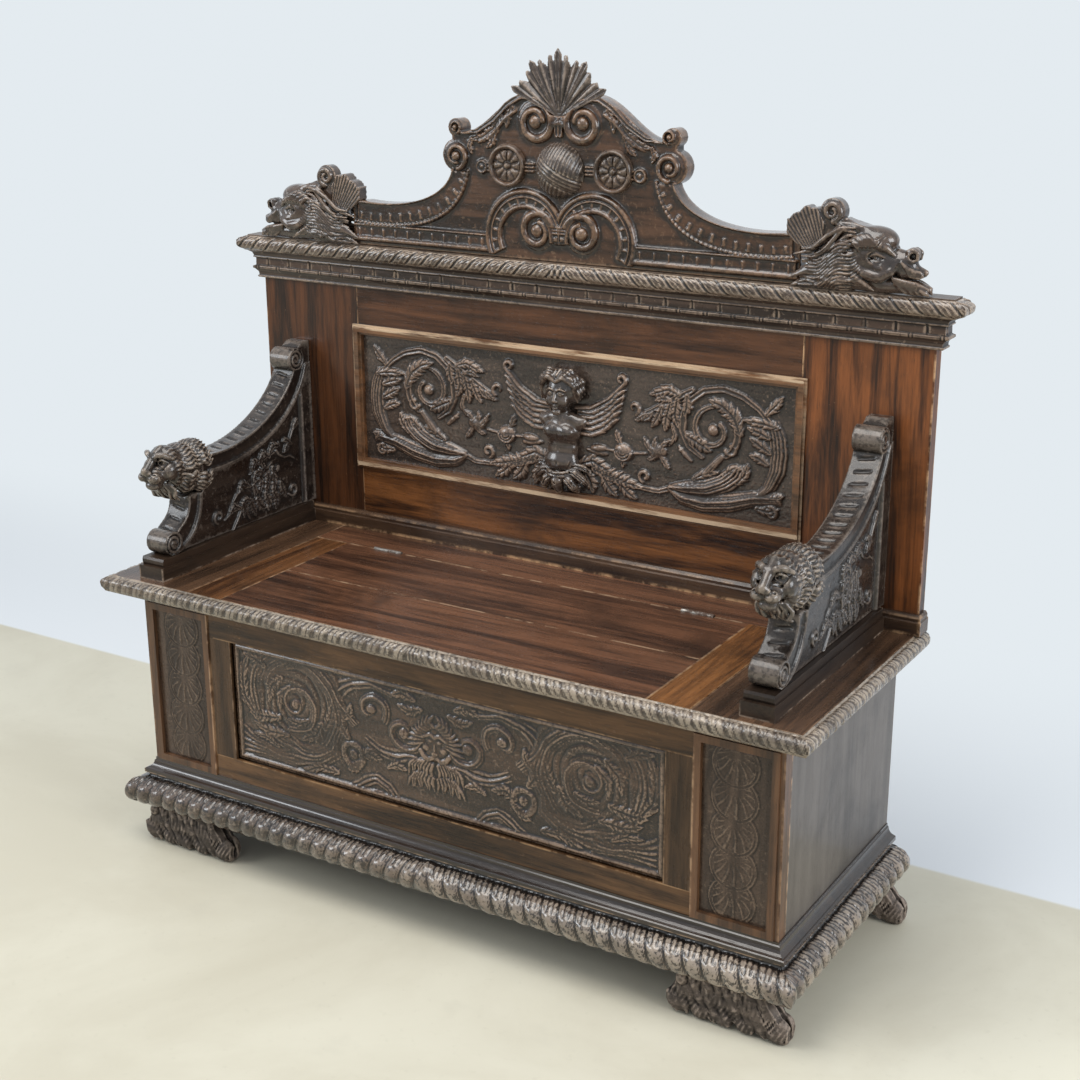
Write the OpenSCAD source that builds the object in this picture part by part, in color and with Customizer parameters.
// Carved walnut hall bench: a chest with a lifting seat, two lion arms and a tall crested back.
// Millimetres. X runs to the sitter's left, Y to the rear, Z up. The origin is on the floor,
// at the middle of the overall width and depth.

/* [Chest] */
// Width of the chest over its corner boards
chest_w = 1226; // [1150:1:1400]
// Depth of the chest, front frame to rear face
chest_d = 437; // [400:1:520]
// Height of the seat's top face above the floor
seat_h = 517; // [480:1:560]
// Thickness of the side, rear and bottom boards
board_t = 20; // [16:1:26]
// Thickness of the front frame
frame_t = 24; // [20:1:30]
// Width of each upright beside the front panel
front_stile_w = 46; // [36:1:60]
// Width of each carved corner board
pilaster_w = 146; // [120:1:180]
// Height of the front frame's bottom rail
front_bottom_rail_h = 130; // [110:1:150]
// Height of the front frame's top rail
front_top_rail_h = 70; // [50:1:90]
// Thickness of the carved front panel
front_panel_t = 13; // [9:1:15]
// How far a panel lies behind the face of its frame
panel_sink = 5; // [3:0.5:7]
// Width of the sunk, carved field of a corner board
pilaster_field_w = 113; // [90:1:118]
// Height of that carved field
pilaster_field_h = 278; // [200:1:290]
// Width of the raised border round that field
pilaster_border_w = 12; // [8:1:13]

/* [Joints] */
// Thickness of every tenon and of the grooves that hold the panels
tenon_t = 8; // [6:0.5:10]
// Length of every tenon
tenon_l = 24; // [16:1:30]
// How far a panel reaches into its grooves
tongue_l = 7; // [5:0.5:10]

/* [Base] */
// Height of the gadroon moulding
gadroon_h = 57; // [45:1:65]
// How far the gadroon moulding stands out from the chest
gadroon_out = 46; // [36:1:50]
// Height of the flat fillet on top of the gadroon moulding
base_fillet_h = 5; // [3:0.5:8]
// Height of the cove moulding
cove_h = 27; // [20:1:34]
// How far the cove moulding stands out from the chest
cove_out = 17; // [13:0.5:22]
// Height of the plain rail that closes the base at the rear
rear_rail_h = 60; // [40:1:80]

/* [Feet] */
// Height of the feet
foot_h = 75; // [65:1:90]
// Width of a foot's carved face
foot_w = 206; // [170:1:230]
// Thickness of a foot, front to back
foot_t = 45; // [36:1:55]
// How far the front feet stand in front of the chest
foot_out_front = 22; // [10:1:30]
// How far the front feet stand out beyond the chest's sides
foot_out_side = 29; // [15:1:40]
// How far the rear feet stand out beyond the chest's sides
rear_foot_out_side = 51; // [30:1:53]
// Width of the slit between the two toes of a foot
toe_slit_w = 6; // [4:0.5:9]

/* [Seat and lid] */
// How far the seat's lip stands in front of the chest
seat_out_front = 51; // [47:1:60]
// How far the seat's lip stands out beyond the chest's sides
seat_out_side = 54; // [52:1:64]
// Thickness of the seat boards
seat_t = 22; // [20:1:28]
// Height of the roped lip
lip_h = 28; // [25:1:34]
// Width of the roped lip
lip_w = 17; // [13:0.5:22]
// Width of the lifting lid
lid_w = 953; // [860:1:1040]
// Depth of the fixed strip behind the lid
rear_strip_d = 120; // [90:1:140]
// Width of each clamped end of the lid
clamp_w = 71; // [50:1:90]
// Depth of the lid's front plank
front_plank_d = 176; // [120:1:220]
// Clear gap round the lid
lid_gap = 0.8; // [0.6:0.1:1.5]
// Clear gap between the closed lid and the chest's top edges
lid_rest_gap = 0.3; // [0.2:0.1:0.5]

/* [Hinges] */
// Length of a hinge
hinge_l = 60; // [45:1:80]
// Distance from the middle of the bench to the middle of a hinge
hinge_x = 313; // [200:1:360]
// Radius of the hinge barrel
barrel_r = 4; // [3.5:0.1:4.5]
// Radius of the hinge pin
pin_r = 2; // [1.5:0.1:2.4]
// Running clearance round the pin
pin_clear = 0.05; // [0.03:0.01:0.08]
// Number of knuckles along a hinge
knuckle_count = 5; // [3:2:7]
// Clear gap between two knuckles
knuckle_gap = 0.4; // [0.3:0.1:0.8]
// Height of a hinge leaf below the barrel
leaf_h = 14; // [11:0.5:14.5]
// Thickness of a hinge leaf
leaf_t = 1.6; // [1.2:0.1:2]
// Radius of a hinge screw's shank
screw_r = 1.6; // [1.2:0.1:1.8]
// Radius of a hinge screw's countersunk head
screw_head_r = 3; // [2.6:0.1:3.3]
// Length of a hinge screw
screw_l = 16; // [12:1:22]

/* [Arms] */
// Distance from the middle of the bench to the middle of an arm
arm_x = 573; // [560:1:590]
// Width of an arm's plinth
plinth_w = 54; // [50:1:60]
// Height of an arm's plinth
plinth_h = 24; // [18:1:30]
// Width of an arm rest
rest_w = 48; // [40:1:50]
// Thickness of the carved board below an arm rest
arm_board_t = 30; // [22:1:36]
// Height of the thin moulding on top of the plinth
plinth_bead_h = 14; // [10:1:18]
// Radius of the volutes at both ends of an arm rest
volute_r = 21; // [18:0.5:22]
// Height of the upper volute's eye above the seat
upper_volute_z = 318; // [312:1:330]
// Radius of a lion head
lion_r = 37; // [30:0.5:39]

/* [Back] */
// Width of the back over its uprights
back_w = 1303; // [1290:1:1320]
// Thickness of the back frame
back_t = 23; // [22:0.5:28]
// Width of each upright of the back
back_stile_w = 215; // [180:1:240]
// Height of the back frame's bottom rail above the seat
back_bottom_rail_h = 130; // [110:1:150]
// Height of the back panel's opening
back_panel_h = 248; // [200:1:280]
// Thickness of the carved back panel
back_panel_t = 12; // [9:0.5:14]
// Width of the moulding round the back panel
panel_mould_w = 18; // [14:0.5:24]
// How far that moulding stands proud of the frame
panel_mould_out = 8; // [5:0.5:12]
// Open joint between two strips of that moulding at a corner
mitre_gap = 0.1; // [0.05:0.05:0.3]
// How far that moulding laps over the frame
panel_mould_lap = 11; // [6:0.5:12]
// Height of the moulding at the foot of the back
skirting_h = 33; // [24:1:37]
// How far that moulding stands out from the back
skirting_out = 14; // [10:0.5:14]
// Depth of the moulding's returns on the outer sides
skirting_return = 8; // [5:0.5:10]

/* [Cornice] */
// Height of the underside of the cornice above the seat
cornice_z = 457; // [440:1:500]
// How far the cornice stands in front of the back frame
cornice_out_front = 23; // [20:0.5:30]
// How far the cornice stands out beyond the uprights
cornice_out_side = 48.5; // [40:0.5:56]
// Height of the frieze with its bead
frieze_h = 50; // [40:1:60]
// Height of the roped moulding
rope_h = 27; // [20:1:34]
// Thickness of the board on top of the cornice
top_board_t = 8; // [6:0.5:10]

/* [Crest] */
// Thickness of the crest's sawn ground board
crest_t = 26; // [22:1:30]
// Distance from the crest board to the rear face of the bench
crest_set = 8; // [6:1:10]
// How far the crest's scrolls stand proud of the ground
scroll_out = 8; // [5:0.5:11]
// Height of the crest, without its shell
crest_h = 275; // [250:1:300]
// Width of the crest between the beasts' necks
crest_w = 860; // [800:1:900]
// Height of the palmette shell from its root
shell_h = 111; // [90:1:130]
// Radius of the reeded boss
boss_r = 50; // [40:0.5:53]
// Radius of a rosette
rosette_r = 36; // [30:0.5:38]
// Distance from the middle to a rosette's centre
rosette_x = 101; // [96:1:106]
// Height of a beast head over its horn
beast_h = 137; // [120:1:150]
// Thickness of a beast head, front to back
beast_t = 54; // [46:1:58]
// Distance from the middle to the tip of a beast's lip
beast_tip_x = 641; // [630:1:660]

/* [Hidden] */

// Colours of the aged wood and of the iron
dark_walnut = "#3a2a22";
worn_walnut = "#6b5646";
red_walnut = "#54301c";
orange_walnut = "#7a4420";
old_iron = "#4a4744";

// Planes of the carcase
y_rear = (chest_d + seat_out_front) / 2;
y_front = y_rear - chest_d;
chest_x = chest_w / 2;
carcase_top = seat_h - seat_t;
pilaster_x = chest_x - pilaster_w;
opening_x = pilaster_x - front_stile_w;
opening_z0 = foot_h + front_bottom_rail_h;
opening_z1 = carcase_top - front_top_rail_h;
frame_y1 = y_front + frame_t;
front_panel_y = y_front + panel_sink;
base_top = foot_h + gadroon_h + base_fillet_h + cove_h;

// Planes of the seat
lip_y0 = y_front - seat_out_front;
lip_x1 = chest_x + seat_out_side;
board_y0 = lip_y0 + lip_w;
board_x1 = lip_x1 - lip_w;
hinge_y = y_rear - rear_strip_d;
lid_x = lid_w / 2;
end_x = lid_x + lid_gap;
lid_y1 = hinge_y - lid_gap / 2;
strip_y0 = hinge_y + lid_gap / 2;
lid_z0 = carcase_top + lid_rest_gap;

// Planes of the back and the cornice
back_x = back_w / 2;
back_y = y_rear - back_t;
back_stile_x = back_x - back_stile_w;
back_open_z0 = seat_h + back_bottom_rail_h;
back_open_z1 = back_open_z0 + back_panel_h;
back_panel_y = back_y + panel_sink;
cornice_z0 = seat_h + cornice_z;
rope_z0 = cornice_z0 + frieze_h;
rope_z1 = rope_z0 + rope_h;
top_board_z0 = rope_z1 - top_board_t * 0.75;
crest_z = top_board_z0 + top_board_t;
crest_y1 = y_rear - crest_set;
crest_y0 = crest_y1 - crest_t;
scroll_y0 = crest_y0 - scroll_out;
skirting_y = back_y - skirting_out;

// Levels of an arm, and how far the drawn curves are shifted to meet its volutes
arm_z0 = seat_h + plinth_h + plinth_bead_h;
upper_eye = [back_y - 45, seat_h + upper_volute_z];
lower_eye = [lip_y0 + 70, arm_z0 + volute_r];
lion_seat_y = lower_eye[0] + 79;
lion_seat_z = arm_z0 + 95;
lion_eye_z = arm_z0 + 162;

// Steps in a curve, and how far a cutter runs past what it cuts
curve_n = 16;
past = 1;
far = 3000;

// Points of a cubic curve
function curve(a, b, c, d, n = curve_n) = [
    for (i = [0 : n]) let (t = i / n, s = 1 - t)
        s * s * s * a + 3 * s * s * t * b + 3 * s * t * t * c + t * t * t * d
];

// Points of a circle's arc
function arc(centre, r, a0, a1, n = curve_n) = [
    for (i = [0 : n]) let (a = a0 + (a1 - a0) * i / n)
        centre + r * [cos(a), sin(a)]
];

// The same points from last to first
function turned(points) = [for (i = [len(points) - 1 : -1 : 0]) points[i]];

// Ribbon that winds into a volute: radius falls from r0 to r1 as the angle goes from a0 to a1
function volute_edge(centre, r0, r1, a0, a1, n) = [
    for (i = [0 : n]) let (t = i / n, a = a0 + (a1 - a0) * t, r = r0 + (r1 - r0) * t)
        centre + r * [cos(a), sin(a)]
];

function volute_band(centre, r0, r1, a0, a1, w, n = 36) = concat(
    volute_edge(centre, r0, r1, a0, a1, n),
    turned(volute_edge(centre, r0 - w, max(r1 - w, 1), a0, a1, n))
);

// A box between two corners
module box(a, b) {
    translate(a)
        cube(b - a);
}

// A shape drawn in Y and Z, as long as given in X, with its middle at x
module along_x(x, length) {
    translate([x, 0, 0])
        rotate([90, 0, 90])
            linear_extrude(length, center = true)
                children();
}

// A shape drawn in X and Z, from y0 to y1
module along_y(y0, y1) {
    translate([0, y1, 0])
        rotate([90, 0, 0])
            linear_extrude(y1 - y0)
                children();
}

// The same piece on the other side of the bench, and on both
module on_left() {
    mirror([1, 0, 0])
        children();
}

module both_sides() {
    children();
    on_left()
        children();
}

// A solid whose every level is a rectangle standing out from a plan by the profile's own width.
// profile holds [part of the full overhang, z], from the bottom up.
module stepped_block(profile, half_w, front, rear, out_side, out_front) {
    z0 = profile[0][1];
    z1 = profile[len(profile) - 1][1];
    intersection() {
        along_x(0, far)
            polygon(concat(
                [for (p = profile) [front - out_front * p[0], p[1]]],
                [[rear, z1], [rear, z0]]
            ));
        along_y(front - far / 4, rear + past)
            polygon(concat(
                [for (p = profile) [half_w + out_side * p[0], p[1]]],
                turned([for (p = profile) [-half_w - out_side * p[0], p[1]]])
            ));
    }
}

// A moulding that wraps the front and both sides of a plan
module wrapped_moulding(profile, half_w, front, rear, out_side, out_front) {
    difference() {
        stepped_block(profile, half_w, front, rear, out_side, out_front);
        box([-half_w, front, -past], [half_w, rear + past, far]);
    }
}

// The mitred part of such a moulding that belongs to the front or to the right side
module front_mitre(half_w, front, out_side, out_front) {
    linear_extrude(far)
        polygon([
            [-half_w, front], [-half_w - 2 * out_side, front - 2 * out_front],
            [half_w + 2 * out_side, front - 2 * out_front], [half_w, front]
        ]);
}

module side_mitre(half_w, front, rear, out_side, out_front) {
    linear_extrude(far)
        polygon([
            [half_w, front], [half_w + 2 * out_side, front - 2 * out_front],
            [half_w + 2 * out_side, rear + past], [half_w, rear + past]
        ]);
}

// Foot: a block sawn to a bracket, with a small volute at one end and two toes at the other
foot_outline = concat(
    [[16, foot_h], [14, foot_h * 0.66], [3, foot_h * 0.34], [0, foot_h * 0.16], [8, 0]],
    [for (i = [1 : 3]) each arc([8 + i * (foot_w - 30) / 4, 0], 9, 180, 0, 6)],
    curve([foot_w - 10, 0], [foot_w, 0], [foot_w, foot_h * 0.2], [foot_w - 10, foot_h * 0.5], 8),
    [[foot_w - 28, foot_h]]
);

module foot(x0, y0) {
    volute = [28, foot_h - 13];
    translate([x0, 0, 0])
        color(worn_walnut)
            difference() {
                union() {
                    along_y(y0, y0 + foot_t)
                        polygon(foot_outline);
                    along_y(y0 - 3, y0 + past)
                        translate(volute)
                            circle(10, $fn = 32);
                }
                box([foot_w - 24, y0 + foot_t / 2 - toe_slit_w / 2, -past],
                    [foot_w + past, y0 + foot_t / 2 + toe_slit_w / 2, foot_h * 0.8]);
            }
}

front_foot_x = chest_x + foot_out_side - foot_w;
rear_foot_x = chest_x + rear_foot_out_side - foot_w;
front_foot_y = y_front - foot_out_front;
rear_foot_y = y_rear - foot_t;

module foot_front_left() {
    foot(-front_foot_x - foot_w, front_foot_y);
}

module foot_front_right() {
    foot(front_foot_x, front_foot_y);
}

module foot_rear_left() {
    on_left()
        foot(rear_foot_x, rear_foot_y);
}

module foot_rear_right() {
    foot(rear_foot_x, rear_foot_y);
}

// Base gadroon: a swelling moulding with a flat fillet on top
gadroon_z1 = foot_h + gadroon_h;
gadroon_profile = concat(
    curve([0.5, foot_h], [0.85, foot_h + gadroon_h * 0.05],
          [1, foot_h + gadroon_h * 0.3], [1, foot_h + gadroon_h * 0.5], 8),
    curve([1, foot_h + gadroon_h * 0.55], [1, foot_h + gadroon_h * 0.78],
          [0.75, gadroon_z1 - gadroon_h * 0.04], [0.45, gadroon_z1], 8),
    [[0.28, gadroon_z1], [0.28, gadroon_z1 + base_fillet_h]]
);

module base_gadroon() {
    color(worn_walnut)
        wrapped_moulding(gadroon_profile, chest_x, y_front, y_rear, gadroon_out, gadroon_out);
}

module base_gadroon_front() {
    intersection() {
        base_gadroon();
        front_mitre(chest_x, y_front, gadroon_out, gadroon_out);
    }
}

module base_gadroon_sides() {
    both_sides()
        intersection() {
            base_gadroon();
            side_mitre(chest_x, y_front, y_rear, gadroon_out, gadroon_out);
        }
}

// Base cove: a fillet, a hollow and a small step up to the chest
cove_z0 = gadroon_z1 + base_fillet_h;
cove_profile = concat(
    [[1, cove_z0], [1, cove_z0 + cove_h * 0.25]],
    curve([0.88, cove_z0 + cove_h * 0.3], [0.5, cove_z0 + cove_h * 0.34],
          [0.25, cove_z0 + cove_h * 0.5], [0.22, cove_z0 + cove_h * 0.78], 8),
    [[0.1, cove_z0 + cove_h * 0.84], [0.1, base_top]]
);

module base_cove() {
    color(dark_walnut)
        wrapped_moulding(cove_profile, chest_x, y_front, y_rear, cove_out, cove_out);
}

// Rail that closes the base behind, let in between the chest's sides below the back board
module base_rear_rail() {
    color(dark_walnut)
        box([board_t - chest_x, y_rear - board_t, foot_h],
            [chest_x - board_t, y_rear, foot_h + rear_rail_h]);
}

// Bottom boards of the chest, carried on the rear rail and in front of it
bottom_z0 = foot_h + rear_rail_h;
module chest_bottom_boards() {
    color(red_walnut)
        box([board_t - chest_x, frame_y1, bottom_z0 - board_t],
            [chest_x - board_t, y_rear - board_t, bottom_z0]);
}

// Front frame
front_tenon_y = y_front + (frame_t - tenon_t) / 2;

module front_rail_tenons(z0, z1, grow = 0) {
    box([-pilaster_x - tenon_l - grow, front_tenon_y, z0],
        [pilaster_x + tenon_l + grow, front_tenon_y + tenon_t, z1]);
}

module front_rail(z0, z1) {
    margin = (z1 - z0) / 4;
    color(dark_walnut)
        difference() {
            union() {
                box([-pilaster_x, y_front, z0], [pilaster_x, frame_y1, z1]);
                front_rail_tenons(z0 + margin, z1 - margin);
            }
            front_panel_body(past);
            front_stile_tenons(past);
            on_left()
                front_stile_tenons(past);
        }
}

module front_top_rail() {
    front_rail(opening_z1, carcase_top);
}

module front_bottom_rail() {
    front_rail(foot_h, opening_z0);
}

module front_stile_tenons(grow = 0) {
    margin = front_stile_w / 5;
    box([opening_x + margin, front_tenon_y, opening_z0 - tenon_l - grow],
        [pilaster_x - margin, front_tenon_y + tenon_t, opening_z1 + tenon_l + grow]);
}

module front_stile_right() {
    color(dark_walnut)
        difference() {
            union() {
                box([opening_x, y_front, opening_z0], [pilaster_x, frame_y1, opening_z1]);
                front_stile_tenons();
            }
            front_panel_body(past);
        }
}

module front_stile_left() {
    on_left()
        front_stile_right();
}

// Carved front panel, held in grooves all round
module front_panel_body(grow = 0) {
    reach = tongue_l + (grow > 0 ? 0.5 : 0);
    box([-opening_x - reach, front_panel_y, opening_z0 - reach],
        [opening_x + reach, front_panel_y + front_panel_t, opening_z1 + reach]);
}

module front_panel() {
    color(worn_walnut)
        front_panel_body();
}

// Corner boards with a sunk field inside a raised border
field_x0 = pilaster_x + pilaster_border_w + past;
field_z0 = base_top + pilaster_border_w;

module pilaster_right() {
    border_out = 3;
    sink = panel_sink;
    a = [field_x0, y_front, field_z0];
    b = [field_x0 + pilaster_field_w, y_front, field_z0 + pilaster_field_h];
    w = [pilaster_border_w, 0, pilaster_border_w];
    bottom = front_bottom_rail_h / 4;
    top = front_top_rail_h / 4;
    color(dark_walnut)
        difference() {
            union() {
                box([pilaster_x, y_front, foot_h], [chest_x, frame_y1, carcase_top]);
                box(a - w - [0, border_out, 0], b + w + [0, past, 0]);
            }
            box(a - [0, border_out + past, 0], b + [0, sink, 0]);
            front_rail_tenons(foot_h + bottom, opening_z0 - bottom, past);
            front_rail_tenons(opening_z1 + top, carcase_top - top, past);
        }
}

module pilaster_left() {
    on_left()
        pilaster_right();
}

// Sides and rear board of the chest
module chest_side_right() {
    color(dark_walnut)
        box([chest_x - board_t, frame_y1, foot_h], [chest_x, y_rear, carcase_top]);
}

module chest_side_left() {
    on_left()
        chest_side_right();
}

module chest_back_board() {
    color(red_walnut)
        box([board_t - chest_x, y_rear - board_t, bottom_z0],
            [chest_x - board_t, y_rear, carcase_top]);
}

// Fixed seat boards
module seat_end_right() {
    color(red_walnut)
        box([end_x, board_y0, carcase_top], [board_x1, y_rear, seat_h]);
}

module seat_end_left() {
    on_left()
        seat_end_right();
}

module seat_rear_strip() {
    color(red_walnut)
        difference() {
            box([-end_x, strip_y0, carcase_top], [end_x, y_rear, seat_h]);
            for (side = [-1, 1]) {
                hinge_room(side * hinge_x, 1);
                hinge_screw_set(side * hinge_x, 1, 0.05);
            }
        }
}

// Roped lip: widest a little below the seat's face
lip_profile = concat(
    [[0.45, seat_h - lip_h]],
    curve([0.6, seat_h - lip_h], [0.92, seat_h - lip_h * 0.85],
          [1, seat_h - lip_h * 0.65], [1, seat_h - lip_h * 0.4], 6),
    curve([1, seat_h - lip_h * 0.4], [0.97, seat_h - lip_h * 0.14],
          [0.6, seat_h - lip_h * 0.02], [0.3, seat_h], 6)
);

module seat_lip() {
    color(worn_walnut)
        wrapped_moulding(lip_profile, board_x1, board_y0, y_rear, lip_w, lip_w);
}

module seat_lip_right() {
    intersection() {
        seat_lip();
        box([end_x, lip_y0 - past, 0], [far, y_rear, far]);
    }
}

module seat_lip_left() {
    on_left()
        seat_lip_right();
}

module lid_lip() {
    intersection() {
        seat_lip();
        box([-lid_x, lip_y0 - past, 0], [lid_x, board_y0, far]);
    }
}

// Lid: two planks between clamped ends
plank_x = lid_x - clamp_w;
plank_y = board_y0 + front_plank_d;

module lid_front_plank() {
    color(red_walnut)
        box([-plank_x, board_y0, lid_z0], [plank_x, plank_y, seat_h]);
}

module lid_rear_plank() {
    color(red_walnut)
        difference() {
            box([-plank_x, plank_y, lid_z0], [plank_x, lid_y1, seat_h]);
            for (side = [-1, 1]) {
                hinge_room(side * hinge_x, -1);
                hinge_screw_set(side * hinge_x, -1, 0.05);
            }
        }
}

module lid_clamp_right() {
    color(orange_walnut)
        box([plank_x, board_y0, lid_z0], [lid_x, lid_y1, seat_h]);
}

module lid_clamp_left() {
    on_left()
        lid_clamp_right();
}

// Butt hinges: the barrel's axis lies on the seat's face, over the joint behind the lid.
// side is 1 for the fixed half behind the axis and -1 for the lid's half in front of it.
knuckle_pitch = hinge_l / knuckle_count;
leaf_z1 = seat_h - barrel_r - knuckle_gap;
leaf_z0 = leaf_z1 - leaf_h;
screw_z = (leaf_z0 + leaf_z1) / 2;

module barrel(x, length, r) {
    translate([x, hinge_y, seat_h])
        rotate([0, 90, 0])
            cylinder(h = length, r = r, center = true, $fn = 48);
}

// The leaf's own plate lies between the gap and this many millimetres from the axis
function leaf_faces(side) = side > 0
    ? [hinge_y + lid_gap / 2, hinge_y + lid_gap / 2 + leaf_t]
    : [hinge_y - lid_gap / 2 - leaf_t, hinge_y - lid_gap / 2];

module hinge_room(x, side) {
    faces = leaf_faces(side);
    barrel(x, hinge_l + 1, barrel_r + 0.5);
    box([x - hinge_l / 2, faces[0] - (side > 0 ? past : 0), leaf_z0],
        [x + hinge_l / 2, faces[1] + (side > 0 ? 0 : past), seat_h]);
}

module hinge_leaf(x, side) {
    faces = leaf_faces(side);
    first = side > 0 ? 0 : 1;
    difference() {
        union() {
            box([x - hinge_l / 2, faces[0], leaf_z0], [x + hinge_l / 2, faces[1], leaf_z1]);
            for (i = [first : 2 : knuckle_count - 1]) {
                at = x - hinge_l / 2 + (i + 0.5) * knuckle_pitch;
                half = (knuckle_pitch - knuckle_gap) / 2;
                barrel(at, 2 * half, barrel_r);
                box([at - half, faces[0], leaf_z1 - past],
                    [at + half, faces[1], seat_h - barrel_r / 2]);
            }
        }
        barrel(x, hinge_l + 2, pin_r + pin_clear);
        hinge_screw_set(x, side, 0.05);
    }
}

module hinge_screw_set(x, side, grow = 0) {
    for (i = [-1, 0, 1])
        translate([x + i * hinge_l / 3, hinge_y + side * lid_gap / 2, screw_z])
            rotate([-90 * side, 0, 0]) {
                cylinder(h = screw_l + grow, r = screw_r + grow, $fn = 24);
                cylinder(h = leaf_t, r1 = screw_head_r + grow, r2 = screw_r + grow, $fn = 24);
            }
}

module hinge_fixed_leaves() {
    color(old_iron)
        for (side = [-1, 1])
            hinge_leaf(side * hinge_x, 1);
}

module hinge_lid_leaves() {
    color(old_iron)
        for (side = [-1, 1])
            hinge_leaf(side * hinge_x, -1);
}

module hinge_pins() {
    color(old_iron)
        for (side = [-1, 1])
            barrel(side * hinge_x, hinge_l, pin_r);
}

module hinge_fixed_screws() {
    color(old_iron)
        for (side = [-1, 1])
            hinge_screw_set(side * hinge_x, 1);
}

module hinge_lid_screws() {
    color(old_iron)
        for (side = [-1, 1])
            hinge_screw_set(side * hinge_x, -1);
}

// Arm plinth: a flat block with a rounded, stepped bead on top
module arm_plinth_right() {
    z1 = seat_h + plinth_h;
    y0 = lower_eye[0] - 38;
    bead = [[0, z1 - past], [6, z1 - past], [6, z1], [8, z1 + plinth_bead_h * 0.3], [8, z1 + plinth_bead_h * 0.7],
            [6, z1 + plinth_bead_h], [0, z1 + plinth_bead_h]];
    color(dark_walnut) {
        box([arm_x - plinth_w / 2, y0, seat_h], [arm_x + plinth_w / 2, skirting_y, z1]);
        along_x(arm_x, rest_w)
            polygon([for (p = bead) [y0 + 8 - p[0] + 6, p[1]], for (p = turned(bead)) [skirting_y, p[1]]]);
    }
}

module arm_plinth_left() {
    on_left()
        arm_plinth_right();
}

// The S curve of an arm in Y and Z: outer edge of the rest, and its inner edge over the board
rest_outer = concat(
    curve(upper_eye + [-9, -18], upper_eye + [-36, -75],
          [lion_seat_y + 135, lion_seat_z + 54], [lion_seat_y + 30, lion_seat_z + 62]),
    [[lion_seat_y, lion_seat_z + 62], [lion_seat_y, lion_seat_z], [lion_seat_y - 34, lion_seat_z]]
);
rest_front = curve([lion_seat_y - 34, lion_seat_z], [lion_seat_y - 36, lion_seat_z - 40],
                   lower_eye + [25, 32], lower_eye + [8, 18], 8);
rest_inner = concat(
    curve(lower_eye + [2, -volute_r], lower_eye + [48, -20],
          lower_eye + [78, 24], [lion_seat_y + 1, lion_seat_z - 4]),
    curve([lion_seat_y + 28, lion_seat_z + 27], [lion_seat_y + 170, lion_seat_z + 22],
          upper_eye + [4, -100], upper_eye + [31, -19])
);

module arm_rest_right() {
    color(dark_walnut)
        along_x(arm_x, rest_w)
            union() {
                polygon(concat(
                    [[back_y, upper_eye[1] - 8], [back_y, upper_eye[1] + 29],
                     upper_eye + [25, 29], upper_eye + [0, 12]],
                    rest_outer, rest_front,
                    [lower_eye + [-4, 0]], rest_inner
                ));
                translate(upper_eye)
                    circle(volute_r, $fn = 48);
                translate(lower_eye)
                    circle(volute_r, $fn = 48);
            }
}

module arm_rest_left() {
    on_left()
        arm_rest_right();
}

// Carved board under the arm rest, with a thicker rear margin
module arm_board_right() {
    shape = concat(
        rest_inner,
        [[back_y, upper_eye[1] - 8], [back_y, arm_z0]]
    );
    color(dark_walnut)
        difference() {
            union() {
                along_x(arm_x, arm_board_t)
                    polygon(shape);
                intersection() {
                    along_x(arm_x, rest_w - 6)
                        polygon(shape);
                    box([0, back_y - 34, arm_z0], [far, back_y, far]);
                }
            }
            arm_rest_right();
        }
}

module arm_board_left() {
    on_left()
        arm_board_right();
}

// Lion head: skull, brow, muzzle and mane, sitting in the notch of the arm rest
module lion_head_right() {
    $fn = 22;
    color(worn_walnut)
        difference() {
            union() {
                hull() {
                    translate([arm_x, lion_seat_y - 10, lion_eye_z - 8])
                        sphere(lion_r);
                    translate([arm_x, lion_seat_y - 34, lion_eye_z - 34])
                        sphere(lion_r * 0.85);
                }
                hull() {
                    translate([arm_x, lion_seat_y - 50, lion_eye_z + 2])
                        sphere(lion_r * 0.78);
                    translate([arm_x, lion_seat_y - 72, lion_eye_z - 12])
                        sphere(lion_r * 0.62);
                }
                hull() {
                    translate([arm_x, lion_seat_y - 80, lion_eye_z - 12])
                        sphere(lion_r * 0.55);
                    translate([arm_x, lion_seat_y - 98, lion_eye_z - 16])
                        sphere(lion_r * 0.42);
                }
            }
            box([0, lion_seat_y, 0], [far, far, far]);
            box([0, lion_seat_y - far, 0], [far, far, lion_seat_z]);
        }
}

module lion_head_left() {
    on_left()
        lion_head_right();
}

// Back frame
back_tenon_y = back_y + (back_t - tenon_t) / 2;

module back_rail_tenons(z0, z1, grow = 0) {
    box([-back_stile_x - tenon_l - grow, back_tenon_y, z0],
        [back_stile_x + tenon_l + grow, back_tenon_y + tenon_t, z1]);
}

back_bottom_margin = back_bottom_rail_h / 4;
back_top_margin = (top_board_z0 - back_open_z1) / 4;

module back_stile_right() {
    color(orange_walnut)
        difference() {
            box([back_stile_x, back_y, seat_h], [back_x, y_rear, top_board_z0]);
            back_rail_tenons(seat_h + back_bottom_margin, back_open_z0 - back_bottom_margin, past);
            back_rail_tenons(back_open_z1 + back_top_margin, top_board_z0 - back_top_margin, past);
            back_panel_board(0.5);
        }
}

module back_stile_left() {
    on_left()
        back_stile_right();
}

module back_rail(z0, z1, margin) {
    color(red_walnut)
        difference() {
            union() {
                box([-back_stile_x, back_y, z0], [back_stile_x, y_rear, z1]);
                back_rail_tenons(z0 + margin, z1 - margin);
            }
            back_panel_board(0.5);
        }
}

module back_top_rail() {
    back_rail(back_open_z1, top_board_z0, back_top_margin);
}

module back_bottom_rail() {
    back_rail(seat_h, back_open_z0, back_bottom_margin);
}

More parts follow.
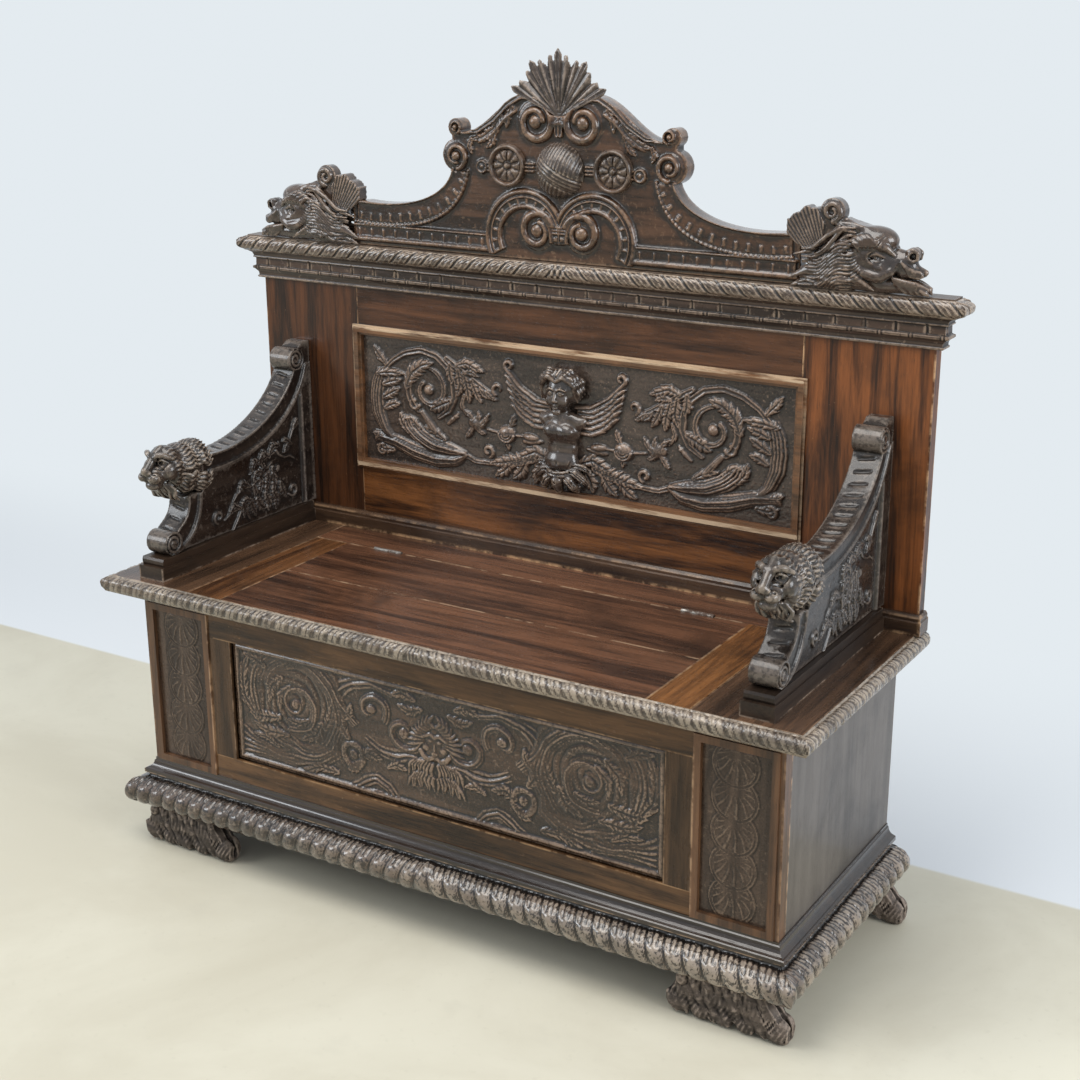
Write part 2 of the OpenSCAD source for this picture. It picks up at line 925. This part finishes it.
// Carved back panel, held in grooves all round
module back_panel_board(grow = 0) {
    reach = tongue_l + grow;
    box([-back_stile_x - reach, back_panel_y, back_open_z0 - reach],
        [back_stile_x + reach, back_panel_y + back_panel_t, back_open_z1 + reach]);
}

module back_panel() {
    color(dark_walnut)
        back_panel_board();
}

// Carving on the back panel: a winged half-figure in a leafy cup between two great scrolls,
// drawn for a panel of this height
drawn_panel_h = 248;
carving_k = back_panel_h / drawn_panel_h;
panel_mid = (back_open_z0 + back_open_z1) / 2;
scroll_eye = [0, panel_mid] + carving_k * [286, 30];

module figure_ball(x, out, z, r) {
    translate([x * carving_k, back_panel_y - out * carving_k, panel_mid + z * carving_k])
        sphere(r * carving_k, $fn = 24);
}

module back_panel_carving() {
    relief = 7 * carving_k;
    wing_top = curve([14, 20], [60, 55], [80, 45], [124, 90], 8);
    wing_end = curve([124, 90], [126, 40], [80, -10], [14, -10], 8);
    husk = concat(
        curve([200, -88], [215, -60], [280, -46], [318, -52], 8),
        curve([318, -52], [350, -62], [370, -72], [392, -76], 8),
        curve([392, -80], [340, -100], [230, -124], [200, -88], 10)
    );
    color(worn_walnut)
        difference() {
            union() {
                figure_ball(0, 14, 66, 21);
                hull() {
                    figure_ball(-12, 6, 26, 15);
                    figure_ball(12, 6, 26, 15);
                    figure_ball(0, 4, -30, 18);
                }
                hull() {
                    figure_ball(-30, 0, -64, 15);
                    figure_ball(30, 0, -64, 15);
                    figure_ball(0, 6, -44, 19);
                }
                figure_ball(0, 9, 42, 11);
                both_sides()
                    along_y(back_panel_y - relief, back_panel_y) {
                        polygon([for (p = concat(wing_top, wing_end)) [0, panel_mid] + carving_k * p]);
                        polygon([for (p = husk) [0, panel_mid] + carving_k * p]);
                        polygon(volute_band(scroll_eye, 66 * carving_k, 40 * carving_k, 250, -60, 9 * carving_k, 40));
                        polygon(volute_band(scroll_eye, 48 * carving_k, 12 * carving_k, -80, 470, 9 * carving_k, 48));
                        polygon(volute_band(scroll_eye + carving_k * [-2, -10], 118 * carving_k, 108 * carving_k, 34, -58, 16 * carving_k, 24));
                    }
            }
            box([-far, back_panel_y, 0], [far, far, far]);
        }
}

// Mitred moulding round the back panel, lapping over the frame
module frame_ring(x1, z0, z1, y0, y1, w) {
    difference() {
        box([-x1, y0, z0], [x1, y1, z1]);
        box([w - x1, y0 - past, z0 + w], [x1 - w, y1 + past, z1 - w]);
    }
}

module back_panel_moulding() {
    x1 = back_stile_x + panel_mould_lap;
    z0 = back_open_z0 - panel_mould_lap;
    z1 = back_open_z1 + panel_mould_lap;
    half_h = (z1 - z0) / 2;
    mid = (z0 + z1) / 2;
    step = panel_mould_w / 4;
    tip = half_h + past;
    strips = [
        [[-x1 - past, mid + tip], [x1 + past, mid + tip], [x1 - half_h, mid], [half_h - x1, mid]],
        [[-x1 - past, mid - tip], [x1 + past, mid - tip], [x1 - half_h, mid], [half_h - x1, mid]],
        [[x1 + past, mid + tip], [x1 + past, mid - tip], [x1 - half_h, mid]],
        [[-x1 - past, mid + tip], [-x1 - past, mid - tip], [half_h - x1, mid]]
    ];
    apart = [[0, mitre_gap], [0, -mitre_gap], [mitre_gap, 0], [-mitre_gap, 0]];
    color(orange_walnut)
        for (i = [0 : 3])
            intersection() {
                union() {
                    frame_ring(x1, z0, z1, back_y - panel_mould_out / 2, back_y, panel_mould_w);
                    frame_ring(x1 - step, z0 + step, z1 - step, back_y - panel_mould_out,
                               back_y, panel_mould_w / 2);
                    frame_ring(back_stile_x, back_open_z0, back_open_z1, back_y - panel_mould_out / 2,
                               back_panel_y, panel_mould_w - panel_mould_lap);
                }
                along_y(0, far)
                    polygon([for (p = strips[i]) p + apart[i]]);
            }
}

// Moulding at the foot of the back, returned round both uprights
skirting_profile = [
    [1, seat_h], [1, seat_h + skirting_h * 0.66], [0.8, seat_h + skirting_h * 0.72],
    [0.8, seat_h + skirting_h * 0.86], [0.45, seat_h + skirting_h]
];

module back_skirting() {
    color(orange_walnut)
        wrapped_moulding(skirting_profile, back_x, back_y, y_rear, skirting_return, skirting_out);
}

// Cornice: each level stands out by its own part of the full overhang
bead_z = cornice_z0 + frieze_h * 0.36;
frieze_profile = concat(
    [[0.14, cornice_z0], [0.2, cornice_z0 + frieze_h * 0.25], [0.42, bead_z - frieze_h * 0.05],
     [0.42, bead_z + frieze_h * 0.07], [0.26, bead_z + frieze_h * 0.12],
     [0.26, cornice_z0 + frieze_h * 0.66]],
    curve([0.26, cornice_z0 + frieze_h * 0.7], [0.3, cornice_z0 + frieze_h * 0.85],
          [0.45, rope_z0 - frieze_h * 0.08], [0.6, rope_z0], 6)
);
rope_profile = concat(
    [[0.62, rope_z0]],
    curve([0.7, rope_z0 + 0.5], [0.98, rope_z0 + rope_h * 0.15],
          [1, rope_z0 + rope_h * 0.3], [1, rope_z0 + rope_h * 0.5], 6),
    curve([1, rope_z0 + rope_h * 0.55], [1, rope_z0 + rope_h * 0.8],
          [0.85, rope_z1 - 1], [0.62, rope_z1], 6)
);

module cornice_frieze() {
    color(dark_walnut)
        wrapped_moulding(frieze_profile, back_x, back_y, y_rear, cornice_out_side, cornice_out_front);
}

module cornice_top_body() {
    part = 0.55;
    box([-back_x - cornice_out_side * part, back_y - cornice_out_front * part, top_board_z0],
        [back_x + cornice_out_side * part, y_rear, top_board_z0 + top_board_t]);
}

module cornice_rope() {
    color(worn_walnut)
        difference() {
            wrapped_moulding(rope_profile, back_x, back_y, y_rear, cornice_out_side, cornice_out_front);
            cornice_top_body();
        }
}

module cornice_top_board() {
    color(red_walnut)
        cornice_top_body();
}

// Crest: it is drawn for a crest of this width and height and scaled to the one that is set
drawn_crest_w = 860;
drawn_crest_h = 275;
crest_k = crest_h / drawn_crest_h;

// A point of the crest: distance from the middle, and height above the cornice as drawn
function crest(x, z) = [x * crest_w / drawn_crest_w, crest_z + z * crest_k];

// Eyes of the volutes, drawn above the cornice
outer_eye = crest(206, 167);
small_eye = crest(206, 213);
upper_eye_crest = crest(46, 222);
lower_eye_crest = crest(46, 49);
arch_eye = crest(66, 39);

crest_half = concat(
    [crest(0, 0), crest(430, 0), crest(430, 76)],
    curve(crest(403, 79), crest(300, 69), crest(225, 97), crest(212, 141)),
    curve(crest(192, 202), crest(140, 209), crest(110, 275), crest(52, 275)),
    [crest(14, 240), crest(0, 236)]
);

module crest_board() {
    color(red_walnut)
        both_sides()
            along_y(crest_y0, crest_y1)
                union() {
                    polygon(crest_half);
                    translate(outer_eye)
                        circle(27 * crest_k, $fn = 40);
                    translate(small_eye)
                        circle(15 * crest_k, $fn = 32);
                    polygon([crest(184, 167), crest(214, 187), crest(214, 205), crest(191, 209)]);
                }
}

function crest_volute(eye, r0, r1, a0, a1, w) =
    volute_band(eye, r0 * crest_k, r1 * crest_k, a0, a1, w * crest_k);

// Notched bands, the arches and all the volutes of the crest
module crest_scrolls() {
    sweep_out = curve(crest(418, 78), crest(300, 69), crest(225, 97), crest(212, 141));
    sweep_in = curve(crest(418, 42), crest(300, 32), crest(200, 47), crest(180, 142));
    color(orange_walnut)
        both_sides()
            along_y(scroll_y0, crest_y0)
                union() {
                    polygon(concat(sweep_out, turned(sweep_in)));
                    polygon(crest_volute(outer_eye, 27, 12, 260, -190, 8));
                    polygon(crest_volute(small_eye, 15, 7, 250, -180, 5));
                    polygon(concat(arc(arch_eye, 77 * crest_k, 182, -15, 24), turned(arc(arch_eye, 50 * crest_k, 182, -15, 24))));
                    polygon(crest_volute(lower_eye_crest, 36, 12, 100, -380, 8));
                    polygon(crest_volute(upper_eye_crest, 36, 11, 60, 520, 8));
                    polygon([crest(146, 8), crest(418, 8), crest(418, 30), crest(146, 30)]);
                    translate(crest(151, 148))
                        circle(11 * crest_k, $fn = 28);
                }
}

// Palmette: fluted lobes that fan out from a root between the upper volutes
lobe_count = 11;
shell_root = crest(0, 236);
shell_outline = concat(
    [crest(9, 218), crest(12, 248)],
    [for (i = [0 : lobe_count * 6]) let (
        a = 28 + 124 * i / (lobe_count * 6),
        r = shell_h * (0.86 + 0.08 * abs(sin(30 * i)) + 0.06 * pow(sin(a), 6))
    ) shell_root + r * [cos(a), sin(a)]],
    [crest(-12, 248), crest(-9, 218)]
);

module crest_shell() {
    color(dark_walnut)
        along_y(scroll_y0 - 2, crest_y0)
            polygon(shell_outline);
    color(dark_walnut)
        intersection() {
            along_y(crest_y0, crest_y1 - 6)
                polygon(shell_outline);
            difference() {
                box([-far, 0, 0], [far, far, far]);
                crest_board();
            }
        }
}

// Boss: a ball set into the ground, so that its cap stands out
module crest_boss() {
    centre = crest(0, 151);
    color(dark_walnut)
        difference() {
            translate([0, crest_y0 + 18, centre[1]])
                sphere(boss_r, $fn = 64);
            box([-far, crest_y0, 0], [far, far, far]);
        }
}

// Rosettes: a dished ring with a raised bead in the middle
module crest_rosettes() {
    dish = [[0, 0], [rosette_r, 0], [rosette_r, 7], [rosette_r - 3, 10], [rosette_r - 7, 10],
            [rosette_r - 9, 6], [9, 6], [7, 4], [6, 9], [3, 11], [0, 11]];
    color(orange_walnut)
        both_sides()
            translate([rosette_x, crest_y0, crest(0, 155)[1]])
                rotate([90, 0, 0])
                    rotate_extrude($fn = 64)
                        polygon(dish);
}

// Beast head: mane, skull with its heavy brow, snout, lip, comb fin and curled horn,
// drawn from the tip of the lip and the cornice for a beast of this height
drawn_beast_h = 137;
beast_k = beast_h / drawn_beast_h;
function beast_point(p) = [beast_tip_x - p[0] * beast_k, crest_z + p[1] * beast_k];

module beast_ball(x, z, r) {
    at = beast_point([x, z]);
    translate([at[0], y_rear - beast_t / 2, at[1]])
        sphere(r * beast_k, $fn = 22);
}

module beast_right() {
    mid_y = y_rear - beast_t / 2;
    fin = [[197, 38], [245, 92], [243, 100], [198, 126], [182, 118], [150, 78]];
    horn_neck = [[173, 128], [146, 118], [129, 104], [100, 96], [140, 60], [190, 90]];
    lip_leaf = [[225, 0], [0, 0], [-0.5, 8], [10, 30], [17, 48], [27, 60], [60, 50], [120, 30], [232, 14]];
    color(worn_walnut)
        difference() {
            union() {
                hull() {
                    beast_ball(92, 62, 36);
                    beast_ball(84, 42, 32);
                }
                hull() {
                    beast_ball(92, 68, 31);
                    beast_ball(76, 70, 17);
                }
                hull() {
                    beast_ball(70, 42, 24);
                    beast_ball(36, 54, 16);
                }
                hull() {
                    beast_ball(130, 44, 26);
                    beast_ball(205, 32, 14);
                }
                along_y(mid_y - beast_t * 0.34, mid_y + beast_t * 0.34)
                    polygon([for (p = lip_leaf) beast_point(p)]);
                along_y(mid_y - beast_t * 0.2, mid_y + beast_t * 0.2)
                    polygon([for (p = fin) beast_point(p)]);
                along_y(mid_y - beast_t * 0.26, mid_y + beast_t * 0.26) {
                    polygon([for (p = horn_neck) beast_point(p)]);
                    translate(beast_point([159, 118]))
                        circle(19 * beast_k, $fn = 36);
                }
            }
            box([0, 0, 0], [far, far, crest_z]);
            box([0, scroll_y0 - past, 0], [crest_w / 2, crest_y1, far]);
            box([0, y_rear, 0], [far, far, far]);
        }
}

module beast_left() {
    on_left()
        beast_right();
}

foot_front_left();
foot_front_right();
foot_rear_left();
foot_rear_right();
base_gadroon_front();
base_gadroon_sides();
base_cove();
base_rear_rail();
chest_bottom_boards();
front_top_rail();
front_bottom_rail();
front_stile_left();
front_stile_right();
front_panel();
pilaster_left();
pilaster_right();
chest_side_left();
chest_side_right();
chest_back_board();
seat_end_left();
seat_end_right();
seat_rear_strip();
seat_lip_left();
seat_lip_right();
lid_front_plank();
lid_rear_plank();
lid_clamp_left();
lid_clamp_right();
lid_lip();
hinge_fixed_leaves();
hinge_lid_leaves();
hinge_pins();
hinge_fixed_screws();
hinge_lid_screws();
arm_plinth_left();
arm_plinth_right();
arm_board_left();
arm_board_right();
arm_rest_left();
arm_rest_right();
lion_head_left();
lion_head_right();
back_stile_left();
back_stile_right();
back_top_rail();
back_bottom_rail();
back_panel();
back_panel_carving();
back_panel_moulding();
back_skirting();
cornice_frieze();
cornice_rope();
cornice_top_board();
crest_board();
crest_scrolls();
crest_shell();
crest_boss();
crest_rosettes();
beast_left();
beast_right();
